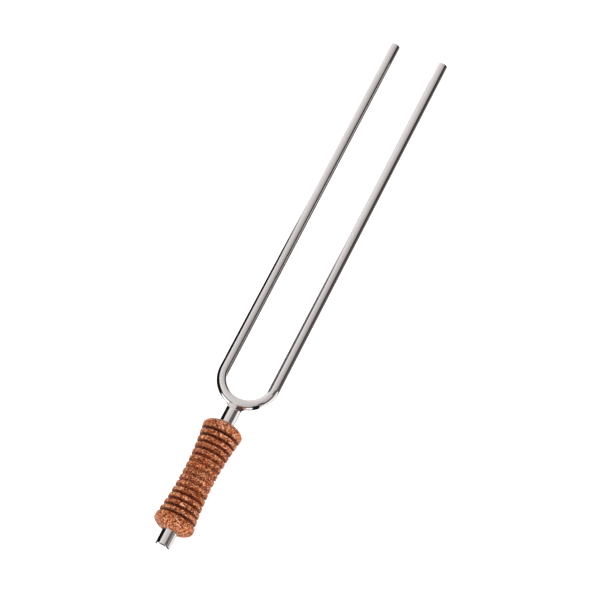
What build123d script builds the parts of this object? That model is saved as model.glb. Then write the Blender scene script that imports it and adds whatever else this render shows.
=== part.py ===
"""Body tuning fork: a long round-bar fork brazed to a straight stem, with a ribbed cork grip.

The fork lies on its back. +Y runs from the foot of the stem to the free ends of the tines,
+X across the fork from one tine to the other, and +Z up, square to the plane of the fork.
The origin is the centre of the flat end of the foot. Millimetres.
"""

from build123d import *
import math
import os

os.makedirs("parts", exist_ok=True)

# Fork: one bar bent into a long U
overall_length = 350.0  # from the foot to the free ends of the tines
bar_d = 6.35
tine_spacing = 32.0  # between the centre lines of the tines
straight_length = 237.5  # of each tine, from the bow to its free end
tip_break = 0.4  # chamfer round a free end

# Stem: a rod that runs through the grip and shows as a foot below it
stem_d = 9.0
foot_chamfer = 0.6
swage_length = 7.0  # over which its top goes from round to a flat oval, under the bow
oval_width = 9.6
oval_thickness = 4.4
braze_radius = 3.0  # of the concave fillet of braze round the top of the stem

# Grip: a turned sleeve with a waist, domed ends and grooves all the way along
grip_centre = 45.8  # from the foot to the waist
waist_d = 19.5
flange_d = 24.6  # at the widest part of each end
flange_offset = 30.7  # from the waist to the widest part of an end
dome_height = 5.6  # of the rounded end beyond that
groove_count = 14
groove_pitch = 4.2
groove_width = 1.8
root_d = 17.6  # at the floor of every groove
floor_round = 0.4  # in the corners of a groove's floor
rib_round = 0.5  # on the corners of the ribs
bore_slip = 0.2  # room between the bore and the stem, on the radius

# Glue: a thin sleeve in a shallow relief turned in the stem, as long as the grip
relief_depth = 0.2

bar_r = bar_d / 2
bow_r = tine_spacing / 2
bow_centre = overall_length - straight_length
bow_bottom = bow_centre - bow_r  # where the stem meets the centre line of the bar
stem_r = stem_d / 2
swage_start = bow_bottom - swage_length
waist_r = waist_d / 2
flange_r = flange_d / 2
root_r = root_d / 2
bore_r = stem_r + bore_slip
relief_r = stem_r - relief_depth
bore_reach = flange_offset + dome_height * math.sqrt(1 - (bore_r / flange_r) ** 2)
relief_low = grip_centre - bore_reach
relief_high = grip_centre + bore_reach


def write(piece, name):
    """Label a finished piece and write it to its own file."""
    piece.part.label = name
    export_step(piece.part, f"parts/{name}.step")


# Tine bar: both tines and the bow between them
with BuildPart() as tine_bar:
    with BuildLine():
        tine = Line((-bow_r, overall_length), (-bow_r, bow_centre))
        bow = ThreePointArc(tine @ 1, (0, bow_bottom), (bow_r, bow_centre))
        Line(bow @ 1, (bow_r, overall_length))
    with BuildSketch(Plane(origin=tine @ 0, z_dir=tine % 0)):
        Circle(bar_r)
    sweep()
    chamfer(tine_bar.faces().group_by(Axis.Y)[-1].edges(), tip_break)
write(tine_bar, "tine_bar")

# Stem: turned rod, flattened at the top and saddled to the underside of the bow
with BuildPart() as stem:
    with BuildSketch():
        with BuildLine():
            Polyline(
                (0, 0),
                (stem_r - foot_chamfer, 0),
                (stem_r, foot_chamfer),
                (stem_r, relief_low),
                (relief_r, relief_low),
                (relief_r, relief_high),
                (stem_r, relief_high),
                (stem_r, swage_start),
                (0, swage_start),
                close=True,
            )
        make_face()
    revolve(axis=Axis.Y)
    with BuildSketch(Plane.XZ.offset(-swage_start)):
        Circle(stem_r)
    with BuildSketch(Plane.XZ.offset(-bow_bottom)):
        Ellipse(oval_width / 2, oval_thickness / 2)
    loft()
    add(tine_bar.part, mode=Mode.SUBTRACT)
write(stem, "stem")

# Braze: the fillet of filler metal that joins the stem to the bow, all the way round
with BuildPart() as braze_fillet:
    add(stem.part)
    add(tine_bar.part)
    near_joint = braze_fillet.edges().filter_by_position(
        Axis.Y, swage_start, bow_bottom, inclusive=(False, True)
    )
    seam = near_joint.filter_by(GeomType.BSPLINE).sort_by(SortBy.LENGTH)[-1]
    fillet(seam, braze_radius)
    add(stem.part, mode=Mode.SUBTRACT)
    add(tine_bar.part, mode=Mode.SUBTRACT)
write(braze_fillet, "braze_fillet")

# Grip: half of its section, with the grooves cut in and the corners of the ribs rounded,
# turned about the stem
with BuildPart() as cork_grip:
    with BuildSketch(Plane.XY.move(Location((0, grip_centre, 0)))) as section:
        with BuildLine():
            ThreePointArc((flange_r, -flange_offset), (waist_r, 0), (flange_r, flange_offset))
            high_dome = EllipticalCenterArc((0, flange_offset), flange_r, dome_height, arc_size=90)
            low_dome = EllipticalCenterArc(
                (0, -flange_offset), flange_r, dome_height, start_angle=270, arc_size=90
            )
            Line(low_dome @ 0, high_dome @ 1)
        make_face()
        Rectangle(2 * bore_r, 2 * (flange_offset + dome_height), mode=Mode.SUBTRACT)
        with Locations((root_r + flange_r / 2, 0)):
            with GridLocations(0, groove_pitch, 1, groove_count):
                RectangleRounded(flange_r, groove_width, floor_round, mode=Mode.SUBTRACT)
        corners = section.vertices().filter_by(
            lambda v: v.X > root_r + floor_round + rib_round / 2 and abs(v.Y) < flange_offset
        )
        fillet(corners, rib_round)
    revolve(axis=Axis.Y)
write(cork_grip, "cork_grip")

# Glue: the sleeve of adhesive between the relief in the stem and the bore of the grip
with BuildPart() as glue_sleeve:
    with BuildSketch(Plane.XZ.offset(-relief_low)):
        Circle(bore_r)
        Circle(relief_r, mode=Mode.SUBTRACT)
    extrude(amount=-2 * bore_reach)
write(glue_sleeve, "glue_sleeve")
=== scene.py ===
"""Looks for the body tuning fork: polished nickel fork and stem, turned cork grip, plain studio."""
import math

import bpy
import numpy as np
from mathutils import Matrix, Quaternion, Vector, noise

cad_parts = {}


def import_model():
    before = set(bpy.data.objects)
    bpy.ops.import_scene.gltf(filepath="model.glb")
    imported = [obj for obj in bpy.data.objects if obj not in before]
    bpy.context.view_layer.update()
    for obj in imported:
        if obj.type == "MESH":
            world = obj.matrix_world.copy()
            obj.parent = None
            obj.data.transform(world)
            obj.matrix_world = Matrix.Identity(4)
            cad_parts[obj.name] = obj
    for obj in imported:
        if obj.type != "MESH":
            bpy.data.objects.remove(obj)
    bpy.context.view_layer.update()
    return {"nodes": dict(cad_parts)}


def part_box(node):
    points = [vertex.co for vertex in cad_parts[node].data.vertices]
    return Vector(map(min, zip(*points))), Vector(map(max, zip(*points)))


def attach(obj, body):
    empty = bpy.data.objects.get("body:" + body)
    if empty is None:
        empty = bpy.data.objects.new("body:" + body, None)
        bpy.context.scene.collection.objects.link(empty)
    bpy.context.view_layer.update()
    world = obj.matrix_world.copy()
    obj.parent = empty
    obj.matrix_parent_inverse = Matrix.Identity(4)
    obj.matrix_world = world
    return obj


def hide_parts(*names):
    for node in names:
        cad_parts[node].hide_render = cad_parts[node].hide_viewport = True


# +Y runs from the foot to the free ends of the tines, +X across them and +Z up. Lengths are in metres.
MM = 0.001
TURN = 2 * math.pi

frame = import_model()

# ---------------------------------------------------------------- sizes, from the frame

bar_low, bar_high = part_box("tine_bar")
stem_low, stem_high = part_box("stem")
grip_low, grip_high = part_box("cork_grip")

BAR_R = bar_high.z
BOW_R = bar_high.x - BAR_R
BOW_Y = bar_low.y + BAR_R + BOW_R  # centre of the bow
TIP_Y = bar_high.y
STEM_R = stem_high.z
FLANGE_R = grip_high.z
GRIP_Y = (grip_low.y + grip_high.y) / 2
GRIP_HALF = (grip_high.y - grip_low.y) / 2

# ---------------------------------------------------------------- sizes of the finer shapes

TIP_BREAK = 0.4 * MM  # round the free ends of the tines
FOOT_CHAMFER = 0.6 * MM
CHAMFER_SOFT = 0.1 * MM  # roundness of the chamfer's own edges

# Grip, as it is turned
GROOVES = 14
PITCH = 4.2 * MM
GROOVE_W = 1.8 * MM
ROOT_R = 8.8 * MM
WAIST_R = 9.75 * MM
FLANGE_OFFSET = 30.7 * MM
DOME_H = 5.6 * MM
BORE_R = 4.7 * MM
BORE_INSET = 2 * MM  # how far the grip's skin runs into its bore
RIB_ROUND = 0.5 * MM
FLOOR_ROUND = 0.4 * MM

# Unevenness of cut cork: the sizes of its grain and how far the skin moves with them
COARSE_GRAIN = 0.9 * MM
FINE_GRAIN = 0.5 * MM
FINE_SHARE = 0.6
SWELL_GRAIN = 6 * MM
GRAIN_PUSH = 0.035 * MM
SWELL_PUSH = 0.05 * MM
SKIN_DROP = 0.03 * MM  # keeps the highest grains inside the turned size

# Joint of stem and bow
JOINT_START = 89.8 * MM  # where the skin takes over from the stem
JOINT_REACH = 5.9 * MM  # along the bow, each side of the stem
JOINT_WRAP = math.radians(20)  # round the bar, towards each face
JOINT_LOW_SIDE = 91.6 * MM  # where the stem starts to flare, at its sides
JOINT_LOW_FACE = 90.5 * MM  # and where it turns in, at its top and underside
JOINT_SHOULDER = 0.5 * MM  # roundness of the turn
JOINT_FILLET_FACE = 0.5 * MM  # how far the skin runs along the bar before it lands
JOINT_FILLET_SIDE = 0.7 * MM
JOINT_SINK = 0.004 * MM  # of the skin's edge into the bar
WEB_Y_SIDE = 92.9 * MM  # half way between stem and bar, at the sides
WEB_Y_FACE = 92.6 * MM
WEB_HALF_WIDTH = 4.65 * MM
WEB_HALF_THICKNESS = 1.2 * MM
# Rings that lead in from under the stem's skin: depth below it, distance before the joint's start
LEAD_IN = [(0.3 * MM, 0.9 * MM), (0.05 * MM, 0.86 * MM), (0.002 * MM, 0.8 * MM), (0.002 * MM, 0.05 * MM)]
# Rings that lead out under the bar's skin: depth below it, distance past the landing
LEAD_OUT = [(0.03 * MM, 0.15 * MM), (0.4 * MM, 0.2 * MM)]

# ---------------------------------------------------------------- colours

# Nickel plate: the two tones of its clouding
PLATE_COLOURS = [(0.3, (0.84, 0.825, 0.815)), (0.7, (0.88, 0.865, 0.855))]

# Braze: the painted light over it, and where it lies
# Painted highlight: the plate made brighter
PAINTED_HIGHLIGHT_COLOURS = [(0.3, (0.93, 0.915, 0.905)), (0.7, (0.98, 0.965, 0.955))]
# Painted reflection of the cork grip in shade: dark brown
PAINTED_CORK_REFLECTION_COLOURS = [(0.3, (0.13, 0.075, 0.065)), (0.7, (0.24, 0.15, 0.135))]
PAINTED_LIGHT_LOW = 91.2 * MM  # where it starts, up the fork
PAINTED_REFLECTION_SIDE = 0.2 * MM  # and across it
PAINTED_LIGHT_SOFT = 1.2 * MM

# Cork: sizes of its granules and their colours, darkest to palest
COARSE_GRANULE = 1.0 * MM
FINE_GRANULE = 0.55 * MM
WARP = 0.4 * MM
CORK_COLOURS = [
    (0.0, (0.050, 0.005, 0.001)),
    (0.18, (0.15, 0.021, 0.003)),
    (0.42, (0.33, 0.070, 0.016)),
    (0.62, (0.48, 0.128, 0.038)),
    (0.82, (0.66, 0.255, 0.115)),
    (1.0, (0.94, 0.560, 0.370)),
]
GOLD_FLECK = (0.90, 0.44, 0.12)
RED_FLECK = (0.68, 0.17, 0.085)
CORK_BINDER = (0.14, 0.026, 0.006)
GROOVE_SHADE = (0.36, 0.16, 0.05)  # what is left of each colour at the foot of a groove
GROOVE_SHADE_DEPTH = 1.6  # mm
SHEEN_TINT = (1.0, 0.84, 0.74)

# Glue, thin and thick
GLUE_COLOURS = [(0.3, (0.10, 0.035, 0.012)), (0.7, (0.24, 0.10, 0.035))]

# ---------------------------------------------------------------- studio

# Camera, fitted to the outline of the fork
CAMERA_AIM = Vector((4.70, 170.42, 0)) * MM
CAMERA_AZIMUTH = math.radians(26.438)
CAMERA_ELEVATION = math.radians(66.347)
CAMERA_DISTANCE = 1424.46 * MM
CAMERA_ROLL = math.radians(0.951)
CAMERA_LENS = 145.2  # mm
CAMERA_SENSOR = 36  # mm

FLOOR_HALF = 6.0
EVEN_LIGHT = 0.95  # of the world on the floor and the cork

# Soft lights: their places and powers in watts
LEFT_LIGHT = ((-1.3, -0.3, 0.45), 13)
RIGHT_LIGHT = ((1.3, -0.5, 0.45), 16)
LIGHT_AIM = (0, 0.05, 0)
LIGHT_SIZE = 0.9

# The tent overhead, from its -X side to its +X side: (x of the direction as 0 to 1, colour)
TENT = [
    (0.0, (0.86, 0.83, 0.83)),
    (0.15, (0.85, 0.82, 0.82)),
    (0.5, (0.65, 0.615, 0.62)),
    (0.8, (0.50, 0.47, 0.47)),
    (1.0, (0.42, 0.39, 0.39)),
]
# Patches round it, found by trial: azimuth from +Y towards +X, half width and softness, elevation,
# half height and softness (degrees), colour. A later one covers an earlier one.
PATCHES = [
    (180, 180, 1, -43, 45, 12, (1.25, 1.25, 1.25)),  # white table below the horizon
    (170, 85, 10, 15, 8, 6, (0.02, 0.018, 0.02)),  # gap between tent and table, behind the foot
    (100, 27, 10, 29, 9, 8, (0.03, 0.026, 0.026)),  # the same gap, higher up on the right
    (168, 27, 8, -62, 22, 10, (0.08, 0.07, 0.07)),  # the fork's own shade on the table
    (64, 16, 12, -24, 58, 50, (0.14, 0.125, 0.12)),  # dim floor beyond the table, to the right
    (60, 13, 8, 10, 19, 7, (0.09, 0.078, 0.074)),  # dark patches above it, past the free ends
    (36, 21, 8, 11, 19, 8, (0.025, 0.02, 0.018)),
    (38, 30, 14, 17, 14, 6, (0.025, 0.02, 0.018)),
    (138.5, 10, 3, -18, 56, 8, (0.01, 0.012, 0.02)),  # leg of the stand
]

# Cards that only reflections see
LEFT_X = -0.6
RIGHT_X = 0.1
BOUNCE_X = RIGHT_X + 0.001  # just behind the dim cards
BLACK = (0.008, 0.006, 0.006)
DIM = (0.12, 0.105, 0.10)
BROWN = (0.33, 0.27, 0.25)
WHITE = (0.98, 0.98, 0.98)


# ---------------------------------------------------------------- small helpers

def new_mesh(name, points, faces):
    """A smooth shaded mesh object from points and faces."""
    mesh = bpy.data.meshes.new(name)
    mesh.from_pydata([tuple(p) for p in points], [], [tuple(f) for f in faces])
    mesh.validate()
    mesh.polygons.foreach_set("use_smooth", [True] * len(mesh.polygons))
    mesh.update()
    piece = bpy.data.objects.new(name, mesh)
    bpy.context.scene.collection.objects.link(piece)
    return piece


def skin(rows, columns):
    """Faces of a tube of rows x columns points, its end rows shut by fans to two added points."""
    faces = []
    for i in range(rows - 1):
        for j in range(columns):
            k = (j + 1) % columns
            here, after = i * columns, (i + 1) * columns
            faces.append((after + j, after + k, here + k, here + j))
    end_row = (rows - 1) * columns
    first, last = rows * columns, rows * columns + 1
    for j in range(columns):
        k = (j + 1) % columns
        faces.append((j, k, first))
        faces.append((end_row + k, end_row + j, last))
    return faces


def ring(radius, y, around):
    """Points of a circle round the stem's axis."""
    turns = [TURN * j / around for j in range(around)]
    return [Vector((radius * math.cos(a), y, radius * math.sin(a))) for a in turns]


def smooth_path(path, s):
    """The point at s, from 0 to 1, of a chain of parabolas: each takes two steps along path."""
    spans = (len(path) - 1) // 2
    k = min(int(s * spans), spans - 1)
    t = s * spans - k
    a, b, c = path[2 * k : 2 * k + 3]
    return a * (1 - t) ** 2 + b * (2 * t * (1 - t)) + c * t**2


# ---------------------------------------------------------------- shader nodes

class Graph:
    """Shader nodes under construction, with short methods for the kinds of node used most."""

    def __init__(self, tree):
        self.nodes = tree.nodes
        self.link = tree.links.new

    def feed(self, socket, value):
        if isinstance(value, tuple):
            socket.default_value = (*value, 1) if len(value) == 3 else value
        elif isinstance(value, (int, float)):
            socket.default_value = value
        else:
            self.link(value, socket)

    def math(self, operation, *values):
        node = self.nodes.new("ShaderNodeMath")
        node.operation = operation
        for socket, value in zip(node.inputs, values):
            self.feed(socket, value)
        return node.outputs[0]

    def split(self, vector):
        node = self.nodes.new("ShaderNodeSeparateXYZ")
        self.link(vector, node.inputs[0])
        return node.outputs

    def step(self, value, low, high, start=0.0, end=1.0):
        node = self.nodes.new("ShaderNodeMapRange")
        node.interpolation_type = "SMOOTHSTEP"
        self.link(value, node.inputs["Value"])
        node.inputs["From Min"].default_value = low
        node.inputs["From Max"].default_value = high
        node.inputs["To Min"].default_value = start
        node.inputs["To Max"].default_value = end
        return node.outputs["Result"]

    def ramp(self, value, stops):
        node = self.nodes.new("ShaderNodeValToRGB")
        self.link(value, node.inputs["Fac"])
        elements = node.color_ramp.elements
        for element, (position, colour) in ((elements[0], stops[0]), (elements[1], stops[-1])):
            element.position = position
            element.color = (*colour, 1)
        for position, colour in stops[1:-1]:
            elements.new(position).color = (*colour, 1)
        return node.outputs["Color"]

    def blend(self, factor, below, above, mode="MIX"):
        node = self.nodes.new("ShaderNodeMix")
        node.data_type = "RGBA"
        node.blend_type = mode
        self.feed(node.inputs["Factor"], factor)
        self.feed(node.inputs["A"], below)
        self.feed(node.inputs["B"], above)
        return node.outputs["Result"]


class Recipe(Graph):
    """A node material under construction, laid out in the coordinates of its piece."""

    def __init__(self, name):
        self.made = bpy.data.materials.new(name)
        self.made.use_nodes = True
        super().__init__(self.made.node_tree)
        self.shader = self.nodes["Principled BSDF"]
        self.place = self.nodes.new("ShaderNodeTexCoord").outputs["Object"]

    def set(self, **values):
        """Feed the shader's sockets, each named with _ for a space."""
        for name, value in values.items():
            self.feed(self.shader.inputs[name.replace("_", " ")], value)

    def noise(self, grain, detail=2):
        node = self.nodes.new("ShaderNodeTexNoise")
        node.inputs["Scale"].default_value = 1 / grain
        node.inputs["Detail"].default_value = detail
        self.link(self.place, node.inputs["Vector"])
        return node.outputs

    def bump(self, height, strength, distance):
        node = self.nodes.new("ShaderNodeBump")
        node.inputs["Strength"].default_value = strength
        node.inputs["Distance"].default_value = distance
        self.link(height, node.inputs["Height"])
        self.link(node.outputs["Normal"], self.shader.inputs["Normal"])


# ---------------------------------------------------------------- materials

def nickel():
    """Bright nickel plate: faint clouding and buffing haze over a mirror finish."""
    plate = Recipe("polished_nickel")
    plate.set(
        Base_Color=plate.ramp(plate.noise(18 * MM, 3)["Fac"], PLATE_COLOURS),
        Metallic=1,
        Roughness=plate.step(plate.noise(9 * MM, 4)["Fac"], 0.3, 0.7, 0.045, 0.085),
    )
    plate.bump(plate.noise(2.5 * MM, 3)["Fac"], 0.12, 0.02 * MM)
    return plate.made


def braze():
    """The plate carried on over the braze, with painted light towards the bow: a painted highlight (the
    plate made a little brighter) at its -X side, and a dark brown painted reflection of the cork grip in
    shade at its +X side.
    """
    metal = Recipe("braze_painted_light")
    x, y, z = metal.split(metal.place)
    cloud = metal.noise(3 * MM, 3)["Fac"]
    # Painted light towards the bow: a painted highlight at -X and a painted reflection of the shaded cork
    # grip at +X
    painted_zone = metal.step(y, PAINTED_LIGHT_LOW, PAINTED_LIGHT_LOW + PAINTED_LIGHT_SOFT)
    cork_reflection_side = metal.step(x, PAINTED_REFLECTION_SIDE, PAINTED_REFLECTION_SIDE + PAINTED_LIGHT_SOFT)
    painted_colours = metal.blend(cork_reflection_side, metal.ramp(cloud, PAINTED_HIGHLIGHT_COLOURS), metal.ramp(cloud, PAINTED_CORK_REFLECTION_COLOURS))
    metal.set(
        Base_Color=metal.blend(painted_zone, metal.ramp(cloud, PLATE_COLOURS), painted_colours),
        Metallic=1,
        Roughness=metal.step(painted_zone, 0, 1, 0.06, 0.11),
    )
    metal.bump(metal.noise(2.5 * MM, 3)["Fac"], 0.12, 0.02 * MM)
    return metal.made


def granules(mix, where, size):
    """Cells of one size in the cork: (their random red, green and blue, the distance to their edge)."""
    cells = mix.nodes.new("ShaderNodeTexVoronoi")
    edges = mix.nodes.new("ShaderNodeTexVoronoi")
    edges.feature = "DISTANCE_TO_EDGE"
    for node in (cells, edges):
        node.inputs["Scale"].default_value = 1 / size
        mix.link(where, node.inputs["Vector"])
    parts = mix.nodes.new("ShaderNodeSeparateColor")
    mix.link(cells.outputs["Color"], parts.inputs["Color"])
    return parts.outputs, edges.outputs["Distance"]


def cork():
    """Pressed cork granules, red-brown with pale and golden ones, dark in the crevices between them."""
    mix = Recipe("cork_composition")
    bent = mix.nodes.new("ShaderNodeVectorMath")
    bent.operation = "MULTIPLY_ADD"
    mix.link(mix.noise(1.1 * MM)["Color"], bent.inputs[0])
    bent.inputs[1].default_value = (WARP, WARP, WARP)
    mix.link(mix.place, bent.inputs[2])
    coarse, coarse_edge = granules(mix, bent.outputs["Vector"], COARSE_GRANULE)
    fine, fine_edge = granules(mix, bent.outputs["Vector"], FINE_GRANULE)

    colour = mix.ramp(coarse["Red"], CORK_COLOURS)
    some_fine = mix.step(fine["Green"], 0.45, 0.55, 0.0, 0.85)
    colour = mix.blend(some_fine, colour, mix.ramp(fine["Red"], CORK_COLOURS))
    colour = mix.blend(mix.step(fine["Blue"], 0.97, 0.975), colour, GOLD_FLECK)
    colour = mix.blend(mix.step(coarse["Blue"], 0.98, 0.985), colour, RED_FLECK)
    drift = mix.step(mix.noise(8 * MM, 3)["Fac"], 0.35, 0.65, 0.3, 0.0)
    colour = mix.blend(drift, colour, CORK_BINDER)

    coarse_gap = mix.step(coarse_edge, 0.0, 0.14, 0.6, 1.0)
    fine_gap = mix.step(fine_edge, 0.0, 0.16, 0.78, 1.0)
    gap = mix.math("MULTIPLY", coarse_gap, fine_gap)
    colour = mix.blend(1.0, colour, gap, "MULTIPLY")
    depth = mix.nodes.new("ShaderNodeAttribute")
    depth.attribute_name = "groove_depth"
    in_groove = mix.blend(1.0, colour, GROOVE_SHADE, "MULTIPLY")
    colour = mix.blend(mix.step(depth.outputs["Fac"], 0.1, GROOVE_SHADE_DEPTH), colour, in_groove)
    mix.set(
        Base_Color=colour,
        Roughness=mix.step(fine["Green"], 0.0, 1.0, 0.5, 0.75),
        Specular_IOR_Level=0.12,
        Sheen_Weight=0.12,
        Sheen_Roughness=0.4,
        Sheen_Tint=SHEEN_TINT,
    )
    mix.bump(gap, 0.55, 0.12 * MM)
    return mix.made


def glue():
    """Set brown glue: slightly cloudy and uneven."""
    sleeve = Recipe("cured_glue")
    cloud = sleeve.noise(1.5 * MM, 3)["Fac"]
    sleeve.set(
        Base_Color=sleeve.ramp(cloud, GLUE_COLOURS),
        Roughness=sleeve.step(cloud, 0.3, 0.7, 0.25, 0.45),
    )
    sleeve.bump(sleeve.noise(0.6 * MM)["Fac"], 0.3, 0.05 * MM)
    return sleeve.made


# ---------------------------------------------------------------- pieces

def tine_stations():
    """(y, radius) along one tine, from its free end to the bow."""
    rows = 40
    end_inset = 0.12 * MM
    stations = [(TIP_Y, BAR_R - TIP_BREAK - end_inset)]
    for t in np.linspace(math.pi / 2, 0, 7):
        y = TIP_Y - TIP_BREAK * (1 - math.sin(t))
        stations.append((y, BAR_R - TIP_BREAK * (1 - math.cos(t))))
    stations += [(y, BAR_R) for y in np.linspace(TIP_Y - 2 * TIP_BREAK, BOW_Y, rows)[:-1]]
    return stations


def tine_bar(finish):
    """The bar swept along tine, bow and tine, with its free ends cut square and their edges broken."""
    around = 96
    bow_rows = 121
    tine = tine_stations()
    stations = [(Vector((-BOW_R, y, 0)), Vector((0, -1, 0)), radius) for y, radius in tine]
    for t in np.linspace(0, math.pi, bow_rows):
        centre = Vector((-BOW_R * math.cos(t), BOW_Y - BOW_R * math.sin(t), 0))
        stations.append((centre, Vector((math.sin(t), -math.cos(t), 0)), BAR_R))
    stations += [(Vector((BOW_R, y, 0)), Vector((0, 1, 0)), radius) for y, radius in tine[::-1]]
    up = Vector((0, 0, 1))
    points = []
    for centre, along, radius in stations:
        side = along.cross(up)
        for j in range(around):
            a = TURN * j / around
            points.append(centre + radius * (math.cos(a) * side + math.sin(a) * up))
    points += [Vector((-BOW_R, TIP_Y, 0)), Vector((BOW_R, TIP_Y, 0))]
    piece = new_mesh("tine_bar_polished", points, skin(len(stations), around))
    piece.data.materials.append(finish)
    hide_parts("tine_bar")
    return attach(piece, "root")


def stem(finish):
    """The rod: its chamfered foot and its straight run up to the joint."""
    around = 144
    rows = 30
    soft = CHAMFER_SOFT
    foot_r = STEM_R - FOOT_CHAMFER
    outline = [
        (foot_r - 4 * soft, 0),
        (foot_r - soft, 0),
        (foot_r - 0.2 * soft, 0.2 * soft),
        (foot_r + 0.5 * soft, 0.9 * soft),
        (STEM_R - 0.9 * soft, FOOT_CHAMFER - 0.4 * soft),
        (STEM_R - 0.2 * soft, FOOT_CHAMFER + 0.4 * soft),
        (STEM_R, FOOT_CHAMFER + 1.6 * soft),
        (STEM_R, FOOT_CHAMFER + 5 * soft),
    ]
    run = np.linspace(FOOT_CHAMFER + 12 * soft, JOINT_START - 0.4 * soft, rows)
    outline += [(STEM_R, y) for y in run]
    outline += [
        (STEM_R, JOINT_START - 0.2 * soft),
        (STEM_R - 0.1 * soft, JOINT_START),
        (STEM_R - 4 * soft, JOINT_START + 0.5 * soft),
    ]
    points = []
    for radius, y in outline:
        points += ring(radius, y, around)
    points += [(0, outline[0][1], 0), (0, outline[-1][1], 0)]
    piece = new_mesh("stem_polished", points, skin(len(outline), around))
    piece.data.materials.append(finish)
    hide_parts("stem")
    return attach(piece, "root")


def joint_column(a, rows):
    """Points of the joint's skin from stem to bar, at angle a round the stem from +X towards +Z."""
    side, face = math.cos(a), math.sin(a)
    column = [
        Vector(((STEM_R - depth) * side, JOINT_START - before, (STEM_R - depth) * face))
        for depth, before in LEAD_IN
    ]
    low = JOINT_LOW_SIDE + (JOINT_LOW_FACE - JOINT_LOW_SIDE) * face**2
    t = math.pi / 2 - JOINT_REACH * side / BOW_R
    wrap = JOINT_WRAP * face
    outward = Vector((math.cos(t), -math.sin(t), 0))
    along = Vector((math.sin(t), math.cos(t), 0))
    normal = outward * math.cos(wrap) + Vector((0, 0, math.sin(wrap)))
    round_bar = outward * -math.sin(wrap) + Vector((0, 0, math.cos(wrap)))
    arrive = (along * side * JOINT_REACH + round_bar * face * JOINT_WRAP * BAR_R).normalized()
    land = Vector((0, BOW_Y, 0)) + outward * BOW_R + normal * (BAR_R - JOINT_SINK)
    foot = Vector((STEM_R * side, low, STEM_R * face))
    shoulder = foot + Vector((0, JOINT_SHOULDER, 0))
    web_y = WEB_Y_SIDE + (WEB_Y_FACE - WEB_Y_SIDE) * face**2
    web = Vector((WEB_HALF_WIDTH * side, web_y, WEB_HALF_THICKNESS * face))
    before_land = land - arrive * (JOINT_FILLET_FACE * face**2 + JOINT_FILLET_SIDE * side**2)
    path = [foot, shoulder, (shoulder + web) / 2, web, (web + before_land) / 2, before_land, land]
    column += [smooth_path(path, i / rows) for i in range(rows + 1)]
    column += [land + arrive * past - normal * depth for depth, past in LEAD_OUT]
    return column


def joint(finish):
    """Dressed braze: a skin drawn from the top of the stem to the bar, tangent to both."""
    columns = 144
    rows = 36
    grid = [joint_column(TURN * j / columns, rows) for j in range(columns)]
    height = len(grid[0])
    points = [grid[j][i] for i in range(height) for j in range(columns)]
    points += [Vector((0, JOINT_START, 0)), Vector((0, BOW_Y - BOW_R, 0))]
    piece = new_mesh("braze_dressed", points, skin(height, columns))
    piece.data.materials.append(finish)
    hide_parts("braze_fillet")
    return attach(piece, "root")


def grip_radius(y):
    """Outer radius of the grip at y from its middle, before the grooves: waist, flange and dome."""
    a = abs(y)
    if a > FLANGE_OFFSET:
        return FLANGE_R * math.sqrt(max(0.0, 1 - ((a - FLANGE_OFFSET) / DOME_H) ** 2))
    bulge = FLANGE_R - WAIST_R
    arc_r = (FLANGE_OFFSET**2 + bulge**2) / (2 * bulge)
    return WAIST_R + arc_r - math.sqrt(arc_r**2 - a**2)


def outline_run(low, high):
    """(radius, y) pairs of the grip's uncut outline between two heights."""
    return [(grip_radius(y), y) for y in np.linspace(low, high, 24)]


def outline_corner(middle_y, middle_r, radius, start, end):
    """(radius, y) pairs of a rounded corner, from start to end in degrees from +Y."""
    return [
        (middle_r + radius * math.sin(t), middle_y + radius * math.cos(t))
        for t in np.radians(np.linspace(start, end, 9))
    ]


def grip_outline(rows):
    """(radius, y) pairs of the grip's skin, evenly spaced along it, with every groove cut in."""
    line = []
    reached = -GRIP_HALF
    floor_r = ROOT_R + FLOOR_ROUND
    for n in range(GROOVES):
        y = (n - (GROOVES - 1) / 2) * PITCH
        low, high = y - GROOVE_W / 2, y + GROOVE_W / 2
        low_r = grip_radius(low - RIB_ROUND) - RIB_ROUND
        high_r = grip_radius(high + RIB_ROUND) - RIB_ROUND
        line += outline_run(reached, low - RIB_ROUND)
        line += outline_corner(low - RIB_ROUND, low_r, RIB_ROUND, 90, 0)
        line += outline_corner(low + FLOOR_ROUND, floor_r, FLOOR_ROUND, 180, 270)
        line += outline_corner(high - FLOOR_ROUND, floor_r, FLOOR_ROUND, 270, 360)
        line += outline_corner(high + RIB_ROUND, high_r, RIB_ROUND, 180, 90)
        reached = high + RIB_ROUND
    line += outline_run(reached, GRIP_HALF)
    line = np.array(line)
    length = np.concatenate([[0], np.cumsum(np.hypot(*np.diff(line, axis=0).T))])
    even = np.linspace(0, length[-1], rows)
    return np.stack([np.interp(even, length, line[:, 0]), np.interp(even, length, line[:, 1])], 1)


def cork_push(place):
    """How far the cork's skin stands out of its turned shape at a place."""
    grain = noise.noise(place / COARSE_GRAIN) + FINE_SHARE * noise.noise(place / FINE_GRAIN)
    return GRAIN_PUSH * grain - SKIN_DROP + SWELL_PUSH * noise.noise(place / SWELL_GRAIN)


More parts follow.
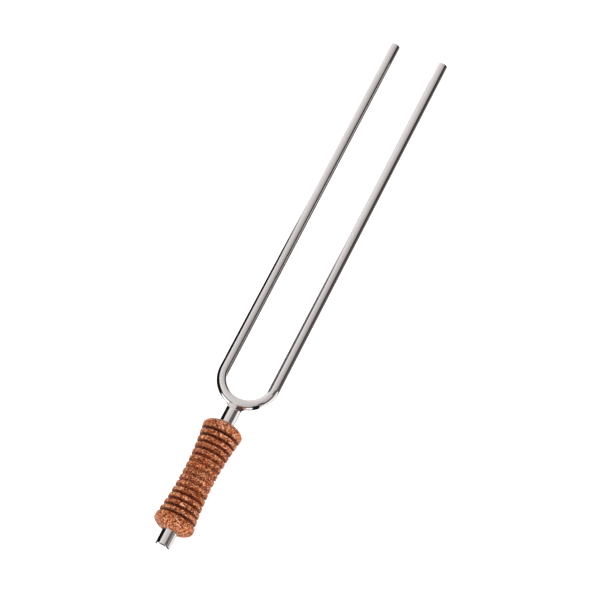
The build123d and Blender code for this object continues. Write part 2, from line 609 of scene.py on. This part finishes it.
def cork_grip(finish):
    """The turned grip, with the small unevenness of cut cork worked into its skin."""
    around, rows = 240, 400
    outline = grip_outline(rows)
    slope = np.gradient(outline, axis=0)
    slope /= np.linalg.norm(slope, axis=1)[:, None]
    low_end, high_end = GRIP_Y - GRIP_HALF + BORE_INSET, GRIP_Y + GRIP_HALF - BORE_INSET
    points = ring(BORE_R, low_end, around)
    depths = [0.0] * around
    for (r, y), (dr, dy) in zip(outline, slope):
        for j in range(around):
            a = TURN * j / around
            push = cork_push(Vector((r * math.cos(a), y, r * math.sin(a))))
            radius = max(r + push * dy, BORE_R)
            points.append(Vector((radius * math.cos(a), GRIP_Y + y - push * dr, radius * math.sin(a))))
            depths.append((grip_radius(y) - r) / MM)
    points += ring(BORE_R, high_end, around)
    points += [Vector((0, low_end, 0)), Vector((0, high_end, 0))]
    depths += [0.0] * (around + 2)
    piece = new_mesh("cork_grip_turned", points, skin(rows + 2, around))
    piece.data.attributes.new("groove_depth", "FLOAT", "POINT").data.foreach_set("value", depths)
    piece.data.materials.append(finish)
    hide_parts("cork_grip")
    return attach(piece, "root")


# ---------------------------------------------------------------- floor, camera and light

def floor():
    """A pale table that the fork really lies on: under the flange and the free ends of the tines."""
    contact = Vector((0, GRIP_Y + FLANGE_OFFSET, -FLANGE_R))
    tips = Vector((0, TIP_Y, -BAR_R))
    slope = math.atan2(tips.z - contact.z, tips.y - contact.y)
    points = [
        (-FLOOR_HALF, -FLOOR_HALF, 0),
        (FLOOR_HALF, -FLOOR_HALF, 0),
        (FLOOR_HALF, FLOOR_HALF, 0),
        (-FLOOR_HALF, FLOOR_HALF, 0),
    ]
    table = new_mesh("floor", points, [(0, 1, 2, 3)])
    table.matrix_world = Matrix.Translation(contact) @ Matrix.Rotation(slope, 4, "X")
    paint = Recipe("floor_white")
    paint.set(
        Base_Color=(0.93, 0.93, 0.93),
        Roughness=0.9,
        Specular_IOR_Level=0.1,
        Emission_Color=(1, 1, 1),
        Emission_Strength=0.35,
    )
    table.data.materials.append(paint.made)
    table.visible_glossy = False


def camera():
    """The camera, at the photo's viewing angle."""
    back = Vector((
        math.sin(CAMERA_AZIMUTH) * math.cos(CAMERA_ELEVATION),
        -math.cos(CAMERA_AZIMUTH) * math.cos(CAMERA_ELEVATION),
        math.sin(CAMERA_ELEVATION),
    ))
    data = bpy.data.cameras.new("camera")
    data.lens = CAMERA_LENS
    data.sensor_width = CAMERA_SENSOR
    eye = bpy.data.objects.new("camera", data)
    bpy.context.scene.collection.objects.link(eye)
    eye.location = CAMERA_AIM + back * CAMERA_DISTANCE
    eye.rotation_mode = "QUATERNION"
    eye.rotation_quaternion = (-back).to_track_quat("-Z", "Y") @ Quaternion((0, 0, 1), -CAMERA_ROLL)
    bpy.context.scene.camera = eye


def world():
    """Even light for floor and cork; for reflections, the patches of light and dark of a small studio."""
    made = bpy.data.worlds.new("studio")
    bpy.context.scene.world = made
    made.use_nodes = True
    sky = Graph(made.node_tree)

    def within(distance, half, soft):
        low, high = math.radians(half - soft / 2), math.radians(half + soft / 2)
        return sky.step(sky.math("ABSOLUTE", distance), low, high, 1, 0)

    x, y, z = sky.split(sky.nodes.new("ShaderNodeTexCoord").outputs["Generated"])
    azimuth = sky.math("ARCTAN2", x, y)
    elevation = sky.math("ARCSINE", z)
    colour = sky.ramp(sky.math("MULTIPLY_ADD", x, 0.5, 0.5), TENT)
    for middle, half, soft, height, half_height, soft_height, shade in PATCHES:
        aside = sky.math("SUBTRACT", azimuth, math.radians(middle))
        across = within(sky.math("WRAP", aside, math.pi, -math.pi), half, soft)
        above = sky.math("SUBTRACT", elevation, math.radians(height))
        patch = sky.math("MULTIPLY", across, within(above, half_height, soft_height))
        colour = sky.blend(patch, colour, shade)
    reflected = sky.nodes["Background"]
    sky.link(colour, reflected.inputs["Color"])

    even = sky.nodes.new("ShaderNodeBackground")
    even.inputs["Color"].default_value = (1, 1, 1, 1)
    even.inputs["Strength"].default_value = EVEN_LIGHT
    rays = sky.nodes.new("ShaderNodeLightPath")
    either = sky.nodes.new("ShaderNodeMixShader")
    sky.link(rays.outputs["Is Glossy Ray"], either.inputs["Fac"])
    sky.link(even.outputs[0], either.inputs[1])
    sky.link(reflected.outputs[0], either.inputs[2])
    sky.link(either.outputs[0], sky.nodes["World Output"].inputs["Surface"])


def soft_light(name, place, power):
    """A large soft light that lights the cork and the floor and stays out of the reflections."""
    data = bpy.data.lights.new(name, "AREA")
    data.shape = "DISK"
    data.size = LIGHT_SIZE
    data.energy = power
    lamp = bpy.data.objects.new(name, data)
    bpy.context.scene.collection.objects.link(lamp)
    lamp.location = place
    lamp.rotation_mode = "QUATERNION"
    lamp.rotation_quaternion = (Vector(LIGHT_AIM) - Vector(place)).to_track_quat("-Z", "Y")
    lamp.visible_glossy = False


def card_paint(name, shade, soft):
    """A glowing material that fades out at a card's edges: its foot end, tip end, low and high edges."""
    made = bpy.data.materials.new(name)
    made.use_nodes = True
    paint = Graph(made.node_tree)
    paint.nodes.remove(paint.nodes["Principled BSDF"])
    glow = paint.nodes.new("ShaderNodeEmission")
    glow.inputs["Color"].default_value = (*shade, 1)
    clear = paint.nodes.new("ShaderNodeBsdfTransparent")
    uv = paint.nodes.new("ShaderNodeUVMap")
    uv.uv_map = "card"
    along, up, unused = paint.split(uv.outputs["UV"])
    foot_end, tip_end, low, high = soft
    fades = []
    for place, near, far in ((along, foot_end, tip_end), (up, low, high)):
        if near:
            fades.append(paint.step(place, 0, near))
        if far:
            fades.append(paint.step(place, 1 - far, 1, 1, 0))
    solid = fades[0]
    for fade in fades[1:]:
        solid = paint.math("MULTIPLY", solid, fade)
    mix = paint.nodes.new("ShaderNodeMixShader")
    paint.link(solid, mix.inputs["Fac"])
    paint.link(clear.outputs[0], mix.inputs[1])
    paint.link(glow.outputs[0], mix.inputs[2])
    paint.link(mix.outputs[0], paint.nodes["Material Output"].inputs["Surface"])
    return made


def flag(name, x, corners, shade, soft):
    """A card, square to X, that only reflections see.

    corners are (y, z): foot end low, tip end low, tip end high, foot end high. soft is how much of the
    card fades at its foot end, tip end, low and high edges.
    """
    card = new_mesh(name, [(x, y, z) for y, z in corners], [(0, 1, 2, 3)])
    across = card.data.uv_layers.new(name="card")
    for corner, place in zip(across.data, ((0, 0), (1, 0), (1, 1), (0, 1))):
        corner.uv = place
    card.data.materials.append(card_paint(name, shade, soft))
    card.visible_camera = False
    card.visible_diffuse = False
    card.visible_shadow = False
    card.visible_transmission = False


def cards():
    """The black, dim and white cards round the fork that its polish reflects."""
    flag(
        "left_flag",
        LEFT_X,
        [(-0.375, -5), (0.49, -5), (0.49, 0.36), (-0.375, 0.395)],
        BLACK,
        soft=(0.08, 0.06, 0, 0.002),
    )
    flag(
        "neck_flag",
        RIGHT_X,
        [(0.105, 0.025), (0.136, 0.02), (0.19, 0.25), (0.155, 0.25)],
        DIM,
        soft=(0.2, 0.1, 0.1, 0.25),
    )
    flag(
        "foot_flag",
        RIGHT_X,
        [(0.022, 0.05), (0.07, 0.05), (0.07, 0.22), (0.022, 0.22)],
        DIM,
        soft=(0.1, 0.2, 0.2, 0.25),
    )
    flag(
        "foot_bounce",
        BOUNCE_X,
        [(0.022, -0.01), (0.055, -0.01), (0.055, 0.06), (0.022, 0.06)],
        BROWN,
        soft=(0.1, 0.1, 0.3, 0.1),
    )
    flag(
        "foot_low",
        BOUNCE_X,
        [(0.022, -0.3), (0.055, -0.3), (0.055, 0.0), (0.022, 0.0)],
        WHITE,
        soft=(0.1, 0.1, 0, 0.1),
    )
    flag(
        "neck_bounce",
        BOUNCE_X,
        [(0.05, -0.16), (0.139, -0.16), (0.139, 0.028), (0.05, 0.028)],
        WHITE,
        soft=(0.1, 0.05, 0, 0.1),
    )


# ---------------------------------------------------------------- the scene

bpy.context.scene.view_settings.view_transform = "Standard"
camera()
world()
floor()
soft_light("left_light", *LEFT_LIGHT)
soft_light("right_light", *RIGHT_LIGHT)
cards()

nickel_finish = nickel()
tine_bar(nickel_finish)
stem(nickel_finish)
joint(braze())
cork_grip(cork())
glue_sleeve = frame["nodes"]["glue_sleeve"]
glue_sleeve.data.materials.clear()
glue_sleeve.data.materials.append(glue())
